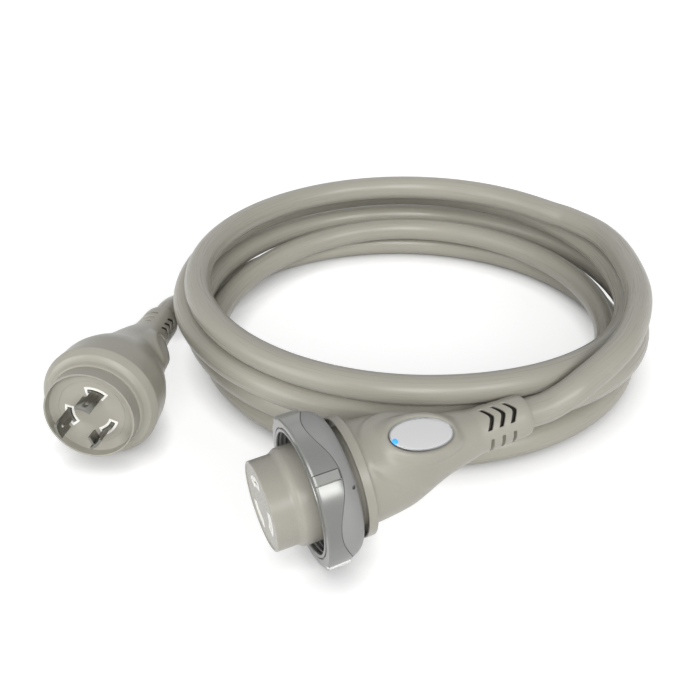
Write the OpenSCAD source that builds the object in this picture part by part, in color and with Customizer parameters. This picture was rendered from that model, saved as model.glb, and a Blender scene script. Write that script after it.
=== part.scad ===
// Shore power cord: locking connector with threaded lock ring, coiled cable, locking plug.
// Millimetres, +Z up, standing on z = 0.
// Each end piece is drawn with its cable end at z = 0 and its face towards +Z, then placed.

/* [Cable] */
// outer diameter of the jacket
cable_d = 16.6; // [15.6:0.1:16.8]
// diameter of one insulated conductor
core_d = 4.6; // [4:0.1:5.2]

/* [Connector] */
// length from the boot's cable end to the nose face
conn_len = 149.5; // [148:0.5:151]
// step on the radius from the nose inside the lock ring to its front part
nose_step = 2; // [1.6:0.1:2.2]
// diameter of the housing's front flange
flange_d = 63.6; // [62:0.2:65]
// swell of the housing behind the flange
body_d = 54; // [53:0.5:56]
// diameter of the strain relief boot
boot_d = 23.6; // [23:0.2:24]

/* [Lock ring] */
// length of the lock ring
ring_len = 20.4; // [19:0.2:22]
// diameter between the lobes
ring_d = 76.6; // [76:0.2:79]
// height of a lobe over the round part
lobe_h = 1.2; // [0.8:0.1:2]
// wall from the outside between the lobes to the thread's crests
ring_wall = 7.1; // [6.8:0.1:7.3]
// space between the nose and the thread's crests
ring_space = 5.8; // [5.6:0.1:6]
// thread pitch
pitch = 2.4; // [2:0.1:2.5]

/* [Badge] */
// length of the oval badge
badge_len = 36.6; // [34:0.2:39]
// width of the oval badge
badge_w = 18; // [17:0.2:22]

/* [Plug] */
// length from the boot's cable end to the rim
plug_len = 125.4; // [124:0.2:127]
// rim diameter
rim_d = 53.2; // [52:0.2:54]
// collar diameter
collar_d = 68.8; // [66:0.2:69]
// depth of the recessed face
cup_depth = 5.2; // [4.8:0.1:6]

/* [Contacts] */
// wall of the nose round the white insert
nose_wall = 6.4; // [6.2:0.1:6.6]
// from the outside of the insert in to the middle of a blade
blade_inset = 5.85; // [5.6:0.05:6]
// blade thickness
blade_t = 1.5; // [1.2:0.1:1.7]
// how far the blades reach out of the face
blade_out = 19; // [17:0.2:20]

/* [Fits] */
// gap between the lock ring and the nose, on the radius
ring_gap = 0.3; // [0.2:0.05:0.5]
// gap between a pressed or moulded piece and its seat, on the radius
seat_gap = 0.05; // [0.02:0.01:0.1]

/* [Hidden] */
$fn = 72;

// placing of the two ends: cable end, heading of the axis, tilt, turn about the axis
conn_at = [133, -29, 50.5];
conn_az = 203.2;
conn_el = -5.4;
conn_turn = 153.5;
plug_at = [-86, 112.5, 27];
plug_az = 260.8;
plug_el = 4.3;
plug_turn = 114;
// turn of the three contacts from the badge side, and the lobes of the ring
contact_turn = [50, 170, -70];
lobe_turn = -17.8;
lobes = 4;

// coil: one entry a quarter turn from the left, clockwise from above and from the floor up
coil_at = [85, 131];
coil = [[160, 9], [143, 8.5], [141, 8.5], [138.5, 8.5], [139.5, 12.5], [133, 26], [128, 24],
        [140, 26], [150, 26.5], [162, 26], [147.5, 27.5], [149, 42], [155, 43.5], [158, 45.5],
        [138, 47], [151, 60], [145, 60], [133, 61.5], [129, 63]];
// free stretches: from the connector's boot up to the coil's top, and from the plug's boot down to its foot
connector_route = [[167, -12, 59.5], [197, 20, 67], [218, 75, 66], [222.5, 131, 64.6], [216.5, 171, 63.4]];
plug_route = [[-81, 155, 16]];
coil_from = 1 / 3;
coil_to = 17.5;
coil_rings = 6;
coil_sides = 6;
lead_sides = 10;
end_run = 17;

// stations along the connector, from its face back to the cable
c_step = conn_len - 13.4;
c_front = conn_len - 20.3;
c_rear = c_front - ring_len;
c_flange = c_rear - 3.6;
c_back = c_flange - 5;
c_shoulder = c_rear + 3.2;
c_web = 76;
c_core = 40;
flange_r = flange_d / 2;
body_r = body_d / 2;
boot_r = boot_d / 2;
bore_r = cable_d / 2 + seat_gap;
face_t = 2.4;
ring_r = ring_d / 2;
thread_r = ring_r - ring_wall;
nose_base_r = thread_r - ring_space;
nose_r = nose_base_r - nose_step;
insert_r = nose_base_r - nose_wall;
blade_r = insert_r - blade_inset;
thread_depth = 1.2;
cover_t = 2.6;
lobe_r = ring_r - 8.3;
scallop_r = ring_r - 14.3;
shoulder_r = nose_base_r + ring_space - 1.6;
slot_half = 26;
core_r = core_d / 2;
wire_r = 1.6;
crimp_r = core_r + 0.9;
crimp_len = 11;

// stations along the plug
p_face = plug_len - cup_depth;
p_seat = plug_len - 9;
p_back = p_seat - 18;
p_web = 74;
rim_r = rim_d / 2;
collar_r = collar_d / 2;
plug_insert_r = 22;
plug_root_r = rim_r - 0.4;
web_t = 4;

module place(at, el, az, turn) {
  translate(at) rotate([0, 90 - el, az]) rotate([0, 0, turn]) children();
}

module on_connector() {
  place(conn_at, conn_el, conn_az, conn_turn) children();
}

module on_plug() {
  place(plug_at, plug_el, plug_az, plug_turn) children();
}

// part of a ring, seen along the axis, centred on the local X axis
module sector(r1, r2, angle, h) {
  rotate([0, 0, -angle / 2]) rotate_extrude(angle = angle) translate([r1, 0]) square([r2 - r1, h]);
}

function oval(a, b, n = 60) = [for (i = [0:n - 1]) [a * cos(360 * i / n), b * sin(360 * i / n)]];

// grooves of the boot: chevrons on two sides, short bars on the other two
module boot_grooves(r, first, step, depth) {
  difference() {
    for (i = [0:2]) {
      at = first + i * step;
      for (side = [0, 180]) {
        rotate([0, 0, side]) rotate([90, 0, 90]) linear_extrude(r + 6)
          polygon([[0, at], [r * 0.52, at + 4.2], [r * 0.52, at + 6], [0, at + 1.8],
                   [-r * 0.52, at + 6], [-r * 0.52, at + 4.2]]);
        rotate([0, 0, side + 90]) translate([0, -r * 0.56, at + 3.4]) cube([r + 6, r * 1.12, 1.7]);
      }
    }
    translate([0, 0, -1]) cylinder(r = r - depth, h = first + 3 * step + 10);
  }
}

// ---------- connector ----------
badge_tilt = 14.6;
badge_x = 23.8;
badge_z = 66;
badge_turn = -3;

module on_badge() {
  rotate([0, 0, badge_turn]) translate([badge_x, 0, badge_z]) rotate([0, 90 + badge_tilt, 0]) children();
}

module connector_shell() {
  rotate_extrude() polygon([[0, 0], [boot_r - 1.8, 0], [boot_r - 0.7, 1.2], [boot_r - 0.2, 4],
    [boot_r + 0.1, 14], [boot_r + 0.5, 24], [boot_r + 0.5, 29], [boot_r + 1.6, 35],
    [boot_r + 3.2, 43.5], [boot_r + 5.1, 52], [boot_r + 7.6, 60], [boot_r + 10.2, 67],
    [body_r - 2.4, 75], [body_r - 1.2, 83], [body_r - 0.4, 91], [body_r, c_back - 2],
    [body_r + 1.4, c_back], [flange_r - 0.8, c_back], [flange_r, c_back + 0.8],
    [flange_r, c_flange - 0.8], [flange_r - 0.8, c_flange], [0, c_flange]]);
}

module connector_housing() {
  color("#A3A096") on_connector() difference() {
    union() {
      connector_shell();
      intersection() {
        union() {
          on_badge() translate([0, 0, -9]) linear_extrude(9) polygon(oval(badge_len / 2 + 2.2, badge_w / 2 + 2.2));
          on_badge() translate([0, 0, -9]) linear_extrude(7.6) polygon(oval(badge_len / 2 + 4.4, badge_w / 2 + 3.6));
          rotate([0, 0, 180]) on_badge() translate([0, 0, -9]) linear_extrude(8) polygon(oval(badge_len / 2 + 2.2, badge_w / 2 + 2.2));
        }
        translate([0, 0, 40]) cylinder(r = 40, h = 50);
      }
    }
    translate([0, 0, -1]) cylinder(r = bore_r, h = c_core + 1.01);
    translate([0, 0, c_core]) cylinder(r1 = bore_r, r2 = insert_r + seat_gap, h = c_web - c_core);
    translate([0, 0, c_web - 0.01]) cylinder(r = insert_r + seat_gap, h = conn_len);
    on_badge() translate([0, 0, -1.6]) linear_extrude(5) polygon(oval(badge_len / 2 + seat_gap, badge_w / 2 + seat_gap));
    boot_grooves(boot_r, 8, 6.8, 1.6);
  }
}

module connector_nose() {
  color("#A7A49A") on_connector() difference() {
    rotate_extrude() polygon([[insert_r + seat_gap, c_flange], [nose_base_r, c_flange],
      [nose_base_r, c_shoulder], [shoulder_r, c_shoulder], [shoulder_r, c_shoulder + 2.6],
      [nose_base_r, c_shoulder + 2.6], [nose_base_r, c_step - 1], [nose_r, c_step + 1.6],
      [nose_r, conn_len - 1], [nose_r - 1, conn_len], [0, conn_len],
      [0, conn_len - face_t], [insert_r + seat_gap, conn_len - face_t]]);
    for (a = contact_turn) rotate([0, 0, a]) translate([0, 0, conn_len - face_t - 1])
      sector(blade_r - 3, blade_r + 3, 2 * slot_half, face_t + 2);
  }
}

module connector_insert() {
  color("#E9E7DF") on_connector() difference() {
    union() {
      translate([0, 0, c_web]) cylinder(r = insert_r, h = conn_len - face_t - c_web);
      for (a = contact_turn) rotate([0, 0, a]) translate([0, 0, conn_len - face_t - 0.01])
        sector(blade_r - 3 + seat_gap, blade_r + 3 - seat_gap, 2 * slot_half - 0.4, face_t - 0.4);
    }
    for (a = contact_turn) rotate([0, 0, a]) {
      translate([0, 0, c_web + crimp_len])
        sector(blade_r - blade_t / 2 - 1.6, blade_r + blade_t / 2 + 1.6, 2 * slot_half - 8, conn_len - face_t - c_web - crimp_len - 2.5);
      translate([0, 0, c_web]) sector(blade_r - blade_t / 2 - 0.3, blade_r + blade_t / 2 + 0.3, 2 * slot_half - 8, conn_len);
      translate([blade_r, 0, c_web - 1]) cylinder(r = crimp_r + seat_gap, h = crimp_len + 1.01);
    }
  }
}

module nose_gasket() {
  color("#3C3B38") on_connector() translate([0, 0, c_shoulder + 2.6]) difference() {
    cylinder(r = shoulder_r - 0.2, h = 2.4);
    translate([0, 0, -1]) cylinder(r = nose_base_r, h = 5);
  }
}

// one spring contact: crimp barrel, bridge and two curved leaves
module contact(turn) {
  color("#B9A15E") on_connector() rotate([0, 0, turn]) {
    difference() {
      translate([blade_r, 0, c_web]) cylinder(r = crimp_r, h = crimp_len);
      translate([blade_r, 0, c_web - 1]) cylinder(r = wire_r + seat_gap, h = crimp_len - 2, $fn = 36);
    }
    difference() {
      translate([0, 0, c_web + crimp_len])
        sector(blade_r - blade_t / 2 - 1.5, blade_r + blade_t / 2 + 1.5, 2 * slot_half - 10, conn_len - face_t - c_web - crimp_len - 3);
      translate([0, 0, c_web + crimp_len + 2.5]) sector(blade_r - blade_t / 2 - 0.3, blade_r + blade_t / 2 + 0.3, 2 * slot_half, conn_len);
    }
  }
}

module contact_line() { contact(contact_turn[0]); }
module contact_neutral() { contact(contact_turn[1]); }
module contact_ground() { contact(contact_turn[2]); }

// one insulated conductor, running from the jacket's end out to its crimp
module core(from, to, turn, crimp) {
  shift = blade_r - 4.6;
  lean = atan(shift / (to - from));
  rotate([0, 0, turn]) union() {
    intersection() {
      translate([4.6, 0, from]) rotate([0, lean, 0]) translate([0, 0, -6])
        cylinder(r = core_r, h = (to - from) / cos(lean) + 12, $fn = 36);
      translate([-insert_r, -insert_r, from]) cube([2 * insert_r, 2 * insert_r, to - from]);
    }
    translate([blade_r, 0, to - 1]) cylinder(r = wire_r, h = crimp + 1, $fn = 36);
  }
}

module connector_core_line() { color("#2A2A2A") on_connector() core(c_core, c_web, contact_turn[0], 8); }
module connector_core_neutral() { color("#E4E2DC") on_connector() core(c_core, c_web, contact_turn[1], 8); }
module connector_core_ground() { color("#3F7A46") on_connector() core(c_core, c_web, contact_turn[2], 8); }

// ---------- lock ring ----------
module ring_outline(h, grow = 0) {
  cylinder(r = ring_r + grow, h = h);
  for (i = [0:lobes - 1]) rotate([0, 0, lobe_turn + i * 360 / lobes])
    translate([ring_r + lobe_h - lobe_r, 0, 0]) cylinder(r = lobe_r + grow, h = h);
}

module ring_bulk() {
  intersection() {
    translate([0, 0, c_rear]) ring_outline(ring_len);
    rotate_extrude() polygon([[0, c_rear], [ring_r - 4.4, c_rear], [ring_r - 1.8, c_rear + 2.4],
      [ring_r + 0.2, c_rear + 6], [ring_r + lobe_h, c_rear + 9], [ring_r + lobe_h, c_front - 1.4],
      [ring_r - 0.4, c_front], [0, c_front]]);
  }
}

// space of the bright cover: front skin with four rounded scallops in its rear edge
module cover_space() {
  difference() {
    translate([0, 0, c_rear + 6.6]) cylinder(r = ring_r + 8, h = ring_len);
    translate([0, 0, c_rear]) cylinder(r = ring_r - cover_t, h = ring_len - 1.4);
    for (i = [0:lobes - 1]) rotate([0, 0, lobe_turn + (i + 0.5) * 360 / lobes])
      translate([0, 0, c_rear + 13.5 - scallop_r]) rotate([0, 90, 0]) translate([0, 0, ring_r - cover_t - 1.5]) cylinder(r = scallop_r, h = 12);
  }
}

module lock_ring() {
  color("#96969A") on_connector() difference() {
    ring_bulk();
    cover_space();
    translate([0, 0, c_rear - 1]) cylinder(r = nose_base_r + ring_gap, h = ring_len + 2);
    translate([0, 0, c_shoulder - 0.3]) cylinder(r = thread_r, h = ring_len);
    rotate_extrude() polygon(concat([[thread_r - 2, c_front - 1.5 - 4 * pitch]],
      [for (i = [0:3]) each [[thread_r, c_front - 1.5 - (4 - i) * pitch + 0.1],
        [thread_r + thread_depth, c_front - 1.5 - (4 - i) * pitch + 0.6],
        [thread_r + thread_depth, c_front - 1.5 - (4 - i) * pitch + 1.1],
        [thread_r, c_front - 1.5 - (4 - i) * pitch + 1.6]]],
      [[thread_r - 2, c_front - 1.4]]));
    rotate([0, 0, lobe_turn - 12.7]) translate([0, 0, c_rear + 2.8]) rotate([0, 90, 0])
      translate([0, 0, ring_r - 4]) cylinder(r = 1.1, h = 8, $fn = 24);
  }
}

module lock_ring_cover() {
  color("#C4C5C6") on_connector() difference() {
    union() {
      intersection() {
        ring_bulk();
        cover_space();
      }
      for (i = [0:lobes - 1]) rotate([0, 0, lobe_turn + i * 360 / lobes])
        translate([ring_r - 1.2, -2.3, c_front - 13.4]) cube([lobe_h + 1.6, 4.6, 12.4]);
    }
    translate([0, 0, c_front - 3]) cylinder(r = thread_r + 0.6, h = 6);
  }
}

// ---------- badge ----------
led_x = badge_len / 2 - 2.6;

module badge() {
  color("#E6E7E9") on_connector() on_badge() difference() {
    union() {
      translate([0, 0, -1.6]) linear_extrude(1.9) polygon(oval(badge_len / 2, badge_w / 2));
      translate([0, 0, 0.3]) linear_extrude(0.4) polygon(oval(badge_len / 2 - 0.8, badge_w / 2 - 0.8));
    }
    translate([-led_x, 0, -0.7]) cylinder(r = 1.5 + seat_gap, h = 4, $fn = 32);
  }
}

module indicator_led() {
  color("#3AA0F0") on_connector() on_badge() translate([-led_x, 0, -0.7]) cylinder(r = 1.5, h = 1.6, $fn = 32);
}

// ---------- plug ----------
module plug_shell() {
  rotate_extrude() polygon([[0, 0], [boot_r - 1.8, 0], [boot_r - 0.8, 1.2], [boot_r - 0.4, 4],
    [boot_r - 0.1, 14], [boot_r + 0.3, 20], [boot_r + 0.8, 26], [boot_r + 2.4, 33],
    [boot_r + 5, 41.5], [boot_r + 7.4, 50], [boot_r + 9.4, 58], [collar_r - 11, 65],
    [collar_r - 8, 73], [collar_r - 4.4, 81], [collar_r - 1.6, 90], [collar_r - 0.8, 99],
    [collar_r - 0.2, p_seat - 11.4], [collar_r, p_seat - 9.2], [collar_r - 0.7, p_seat - 7.6],
    [collar_r - 2.7, p_seat - 4.5], [rim_r + 1.9, p_seat - 2.4], [rim_r + 0.9, p_seat], [0, p_seat]]);
}

module plug_housing() {
  color("#A3A096") on_plug() difference() {
    union() {
      plug_shell();
      intersection() {
        for (side = [0, 180]) rotate([0, 0, side]) translate([21.3, 0, 52]) rotate([0, 90 + 20, 0])
          translate([0, 0, -9]) linear_extrude(9) polygon(oval(15, 9));
        translate([0, 0, 34]) cylinder(r = 40, h = 50);
      }
    }
    translate([0, 0, -1]) cylinder(r = bore_r, h = c_core + 1.01);
    translate([0, 0, c_core]) cylinder(r1 = bore_r, r2 = insert_r, h = p_web - c_core);
    translate([0, 0, p_web - 0.01]) cylinder(r = plug_insert_r + seat_gap, h = plug_len);
    translate([0, 0, p_back]) cylinder(r = plug_root_r + seat_gap, h = plug_len);
    boot_grooves(boot_r, 7, 6.8, 1.6);
  }
}

module plug_nose() {
  color("#A7A49A") on_plug() difference() {
    rotate_extrude() polygon([[plug_insert_r + seat_gap, p_back], [plug_root_r, p_back],
      [plug_root_r, p_seat], [rim_r, p_seat], [rim_r, plug_len],
      [rim_r - 1.1, plug_len], [rim_r - 1.3, p_face], [0, p_face], [0, p_face - web_t],
      [plug_insert_r + seat_gap, p_face - web_t]]);
    for (a = contact_turn) rotate([0, 0, a]) translate([0, 0, p_face - web_t - 1])
      sector(blade_r - 2.6, blade_r + 2.6, 2 * slot_half, web_t + 2);
  }
}

module plug_insert() {
  color("#E9E7DF") on_plug() difference() {
    union() {
      translate([0, 0, p_web]) cylinder(r = plug_insert_r, h = p_face - web_t - p_web);
      for (a = contact_turn) rotate([0, 0, a]) translate([0, 0, p_face - web_t - 0.01])
        sector(blade_r - 2.6 + seat_gap, blade_r + 2.6 - seat_gap, 2 * slot_half - 0.4, web_t + 0.3);
    }
    for (a = contact_turn) rotate([0, 0, a]) {
      translate([0, 0, p_web + crimp_len])
        sector(blade_r - blade_t / 2 - seat_gap, blade_r + blade_t / 2 + seat_gap, 40.4, plug_len);
      translate([0, 0, p_face - 1.4]) sector(blade_r - 1.5, blade_r + 1.5, 2 * slot_half - 7, 6);
      translate([blade_r, 0, p_web - 1]) cylinder(r = crimp_r + seat_gap, h = crimp_len + 1.01);
    }
  }
}

// one locking blade: crimp barrel and curved blade, notched beside the face, with a small hole
module blade(turn, hand = 1) {
  color("#B7B6B2") on_plug() rotate([0, 0, turn]) difference() {
    union() {
      translate([blade_r, 0, p_web]) cylinder(r = crimp_r, h = crimp_len);
      translate([0, 0, p_web + crimp_len])
        sector(blade_r - blade_t / 2, blade_r + blade_t / 2, 40, p_face + blade_out - p_web - crimp_len);
    }
    translate([blade_r, 0, p_web - 1]) cylinder(r = wire_r + seat_gap, h = crimp_len - 2, $fn = 36);
    rotate([0, 0, hand * 20]) translate([0, 0, p_face + 0.6]) sector(blade_r - 2, blade_r + 2, 18, 6.4);
    translate([blade_r - 4, 0, p_face + 13]) rotate([0, 90, 0]) cylinder(r = 1.4, h = 8, $fn = 24);
    for (side = [-1, 1]) rotate([0, 0, side * 20]) translate([blade_r - 2, 0, p_face + blade_out])
      rotate([45, 0, 0]) cube([4, 2.4, 2.4], center = false);
  }
}

module blade_line() { blade(contact_turn[0]); }
module blade_neutral() { blade(contact_turn[1]); }
module blade_ground() {
  blade(contact_turn[2]);
  color("#B7B6B2") on_plug() rotate([0, 0, contact_turn[2] - 20])
    translate([blade_r - 5.4, 0, p_face + 8]) cube([5.4, blade_t, 8]);
}

module plug_core_line() { color("#2A2A2A") on_plug() core(c_core, p_web, contact_turn[0], 8); }
module plug_core_neutral() { color("#E4E2DC") on_plug() core(c_core, p_web, contact_turn[1], 8); }
module plug_core_ground() { color("#3F7A46") on_plug() core(c_core, p_web, contact_turn[2], 8); }

// ---------- cable ----------
function unit(v) = v / norm(v);
function axis_of(az, el) = [cos(el) * cos(az), cos(el) * sin(az), sin(el)];
function pick(v, i) = v[min(max(i, 0), len(v) - 1)];

// radius along the coil, q in quarter turns: a smooth curve through the entries
function coil_r(q) = let (i = min(floor(q), len(coil) - 2), w = q - i, b = coil[i][0], c = coil[i + 1][0],
    a = i > 0 ? coil[i - 1][0] : 2 * b - c, d = i + 2 < len(coil) ? coil[i + 2][0] : 2 * c - b)
  0.5 * (2 * b + (c - a) * w + (2 * a - 5 * b + 4 * c - d) * w * w + (3 * b - a - 3 * c + d) * w * w * w);

// slope of the height at an entry, without overshoot
function coil_slope(i) = i <= 0 ? 0 : i >= len(coil) - 1 ? coil[i][1] - coil[i - 1][1] :
  let (s = coil[i][1] - coil[i - 1][1], t = coil[i + 1][1] - coil[i][1]) s * t > 0 ? 2 * s * t / (s + t) : 0;
function coil_z(q) = let (i = min(floor(q), len(coil) - 2), w = q - i)
  coil[i][1] * (1 + 2 * w) * (1 - w) * (1 - w) + coil_slope(i) * w * (1 - w) * (1 - w)
  + coil[i + 1][1] * w * w * (3 - 2 * w) + coil_slope(i + 1) * w * w * (w - 1);
function coil_point(q) = [coil_at[0] + coil_r(q) * cos(180 - 90 * q),
                          coil_at[1] + coil_r(q) * sin(180 - 90 * q), coil_z(q)];
function coil_dir(q) = unit(coil_point(q + 0.01) - coil_point(q - 0.01));

// smooth line through hand placed points, n steps between each pair
function smooth(p, n) = concat([for (i = [0:len(p) - 2], k = [0:n - 1]) let (w = k / n, b = p[i], c = p[i + 1],
    a = i > 0 ? p[i - 1] : 2 * b - c, d = i + 2 < len(p) ? p[i + 2] : 2 * c - b)
    0.5 * (2 * b + (c - a) * w + (2 * a - 5 * b + 4 * c - d) * w * w + (3 * b - a - 3 * c + d) * w * w * w)],
  [p[len(p) - 1]]);

// frames carried along a line, so that the tube does not twist
function along(p, i) = unit(pick(p, i + 1) - pick(p, i - 1));
function sides(p, i = 0, prev = [0, 0, 1]) = let (t = along(p, i), s = unit(prev - (prev * t) * t))
  i == len(p) - 1 ? [s] : concat([s], sides(p, i + 1, s));

module tube(p, r, n) {
  s = sides(p);
  pts = [for (i = [0:len(p) - 1], k = [0:n - 1]) let (t = along(p, i), u = s[i], v = cross(t, u), a = 360 * k / n)
    p[i] + r * cos(a) * u + r * sin(a) * v];
  m = len(p);
  polyhedron(points = pts, faces = concat(
    [for (k = [1:n - 2]) [0, k, k + 1]],
    [for (k = [1:n - 2]) [(m - 1) * n, (m - 1) * n + k + 1, (m - 1) * n + k]],
    [for (i = [0:m - 2], k = [0:n - 1]) each let (a = i * n + k, b = i * n + (k + 1) % n)
      [[a, a + n, b + n], [a, b + n, b]]]), convexity = 8);
}

conn_out = -axis_of(conn_az, conn_el);
plug_out = -axis_of(plug_az, plug_el);
coil_line = let (a = coil_dir(coil_from), b = coil_dir(coil_to),
    n = round((coil_to - coil_from) * coil_rings))
  concat([coil_point(coil_from) - end_run * a],
    [for (i = [0:n]) coil_point(coil_from + (coil_to - coil_from) * i / n)],
    [coil_point(coil_to) + end_run * b]);
coil_end = coil_line[len(coil_line) - 1];
coil_start = coil_line[0];

// a smooth line whose last stretch runs straight, square to the coil's end
function lead(p) = let (s = smooth(p, 3)) concat([for (i = [0:len(s) - 4]) s[i]], [s[len(s) - 1]]);

// leads, from the jacket's end inside each boot to the top and to the foot of the coil
connector_lead = lead(concat([conn_at - c_core * conn_out, conn_at, conn_at + end_run * conn_out],
  connector_route, [coil_end + end_run * coil_dir(coil_to), coil_end]));
plug_lead = lead(concat([plug_at - c_core * plug_out, plug_at, plug_at + end_run * plug_out],
  plug_route, [coil_start - end_run * coil_dir(coil_from), coil_start]));

// least gap from the coil's tube to itself and to the leads, on its points and their midpoints
function halved(p) = [for (i = [0:2 * len(p) - 2]) i % 2 == 0 ? p[i / 2] : (p[(i - 1) / 2] + p[(i + 1) / 2]) / 2];
fine = halved(coil_line);
echo(coil_gap = min([for (i = [0:len(fine) - 1]) for (j = [i + 12:1:len(fine) - 1]) norm(fine[i] - fine[j])]) - cable_d);
echo(lead_gap = min([for (a = halved([for (i = [0:len(connector_lead) - 2]) connector_lead[i]])) for (b = [for (i = [0:len(fine) - 14]) fine[i]]) norm(a - b)]) - cable_d,
     plug_lead_gap = min([for (a = halved([for (i = [0:len(plug_lead) - 2]) plug_lead[i]])) for (b = [for (i = [14:len(fine) - 1]) fine[i]]) norm(a - b)]) - cable_d);
function run(p) = len(p) < 2 ? 0 : norm(p[1] - p[0]) + run([for (i = [1:len(p) - 1]) p[i]]);
echo(length = run(connector_lead) + run(coil_line) + run(plug_lead) - 2 * c_core);

module cable_connector_lead() { color("#A3A096") tube(connector_lead, cable_d / 2, lead_sides); }
module cable_coil() { color("#A3A096") tube(coil_line, cable_d / 2, coil_sides); }
module cable_plug_lead() { color("#A3A096") tube(plug_lead, cable_d / 2, lead_sides); }

connector_housing();
connector_nose();
connector_insert();
nose_gasket();
contact_line();
contact_neutral();
contact_ground();
connector_core_line();
connector_core_neutral();
connector_core_ground();
lock_ring();
lock_ring_cover();
badge();
indicator_led();
plug_housing();
plug_nose();
plug_insert();
blade_line();
blade_neutral();
blade_ground();
plug_core_line();
plug_core_neutral();
plug_core_ground();
cable_connector_lead();
cable_coil();
cable_plug_lead();
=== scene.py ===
import math

import bmesh
import bpy
import numpy as np
from bpy.props import FloatProperty, FloatVectorProperty, IntProperty
from mathutils import Matrix, Vector


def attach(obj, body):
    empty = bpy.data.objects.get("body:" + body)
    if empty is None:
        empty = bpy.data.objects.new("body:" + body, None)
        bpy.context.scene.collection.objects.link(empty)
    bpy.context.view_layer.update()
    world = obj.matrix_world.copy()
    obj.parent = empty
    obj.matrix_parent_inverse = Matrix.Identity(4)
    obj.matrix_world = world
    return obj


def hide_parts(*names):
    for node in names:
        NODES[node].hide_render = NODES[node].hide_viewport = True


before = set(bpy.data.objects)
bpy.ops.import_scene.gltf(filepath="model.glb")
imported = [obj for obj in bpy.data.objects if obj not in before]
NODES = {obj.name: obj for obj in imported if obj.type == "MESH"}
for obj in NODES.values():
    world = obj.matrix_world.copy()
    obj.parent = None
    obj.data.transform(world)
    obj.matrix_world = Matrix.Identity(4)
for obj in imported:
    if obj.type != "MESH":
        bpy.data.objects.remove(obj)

bl_info = {
    "name": "Shore Power Cord",
    "version": (1, 0, 0),
    "blender": (4, 5, 0),
    "location": "3D View > Sidebar > Power Cord",
    "description": "Builds a coiled shore power cord with its locking connector, lock ring and plug",
    "category": "Add Mesh",
}

MM = 0.001


def tone(code):
    """A colour written as sRGB hex, as the linear values that a shader takes."""
    parts = [int(code[i:i + 2], 16) / 255 for i in (1, 3, 5)]
    return tuple(c / 12.92 if c <= 0.04045 else ((c + 0.055) / 1.055) ** 2.4 for c in parts)


# ---------------------------------------------------------------- placing of the two ends (mm)

def axis_of(heading, tilt):
    h, t = math.radians(heading), math.radians(tilt)
    return Vector((math.cos(t) * math.cos(h), math.cos(t) * math.sin(h), math.sin(t)))


def placing(at, heading, tilt, turn):
    """Frame of an end piece: cable end at its origin, axis along +Z to the face."""
    return (Matrix.Translation(Vector(at) * MM)
            @ Matrix.Rotation(math.radians(heading), 4, "Z")
            @ Matrix.Rotation(math.radians(90 - tilt), 4, "Y")
            @ Matrix.Rotation(math.radians(turn), 4, "Z"))


CONN_AT, CONN_HEADING, CONN_TILT, CONN_TURN = (133, -29, 50.5), 203.2, -5.4, 153.5
PLUG_AT, PLUG_HEADING, PLUG_TILT, PLUG_TURN = (-86, 112.5, 27), 260.8, 4.3, 114
ON_CONNECTOR = placing(CONN_AT, CONN_HEADING, CONN_TILT, CONN_TURN)
ON_PLUG = placing(PLUG_AT, PLUG_HEADING, PLUG_TILT, PLUG_TURN)
IN_PLACE = Matrix.Identity(4)
BLADE_TURNS = (50, 170, -70)
BLADE_R = 13.15
SLOT_HALF = 26
LOBE_TURN = -17.8
LOBES = 4

# stations along the connector and the plug, from the cable end
CONN_LEN, RING_FRONT, RING_REAR, FLANGE_FRONT, FLANGE_BACK = 149.5, 129.2, 108.8, 105.2, 100.2
PLUG_LEN, PLUG_FACE, PLUG_SEAT = 125.4, 120.2, 116.4
BOOT_R, BODY_R, FLANGE_R, COLLAR_R, RIM_R = 11.8, 27.0, 31.8, 34.4, 26.6
# grooves of each boot: station of the first, and the share of the boot's radius that an arrow's arm spans
CONN_GROOVES, PLUG_GROOVES = (8, 0.52), (7, 0.30)
GROOVES_END = 32
# inner radius of the housings: at the cable, and round the inner pieces of the connector and the plug
CABLE_BORE, CONN_BORE, PLUG_BORE = 8.35, 19.05, 22.05

# ---------------------------------------------------------------- the cable's route (mm)
COIL_AT = (85, 131)
# the coil's radius and height at each quarter turn
COIL = ((160, 9), (143, 8.5), (141, 8.5), (138.5, 8.5), (139.5, 12.5), (133, 26), (128, 24),
        (140, 26), (150, 26.5), (162, 26), (147.5, 27.5), (149, 42), (155, 43.5), (158, 45.5),
        (138, 47), (151, 60), (145, 60), (133, 61.5), (129, 63))
COIL_FROM, COIL_TO = 1 / 3, 17.5
CONNECTOR_ROUTE = ((167, -12, 59.5), (197, 20, 67), (218, 75, 66), (222.5, 131, 64.6), (216.5, 171, 63.4))
PLUG_ROUTE = ((-81, 155, 16),)
# straight run out of each boot and off the coil, length inside each boot, distance between the jacket's rings
END_RUN, IN_BOOT, LINE_STEP = 17, 25, 2.5


def between(a, b, c, d, w):
    """Smooth step from b to c, with a before and d after them."""
    return 0.5 * (2 * b + (c - a) * w + (2 * a - 5 * b + 4 * c - d) * w * w
                  + (3 * b - a - 3 * c + d) * w ** 3)


def smooth(points, steps):
    """A smooth line through the points, so many steps between each pair."""
    p = [Vector(v) for v in points]
    line = []
    for i in range(len(p) - 1):
        before = p[i - 1] if i else 2 * p[i] - p[i + 1]
        after = p[i + 2] if i + 2 < len(p) else 2 * p[i + 1] - p[i]
        line += [between(before, p[i], p[i + 1], after, k / steps) for k in range(steps)]
    return line + [p[-1]]


def coil_slope(i):
    """Slope of the height at an entry, without overshoot."""
    if i <= 0:
        return 0
    s = COIL[i][1] - COIL[i - 1][1]
    if i >= len(COIL) - 1:
        return s
    t = COIL[i + 1][1] - COIL[i][1]
    return 2 * s * t / (s + t) if s * t > 0 else 0


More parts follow.
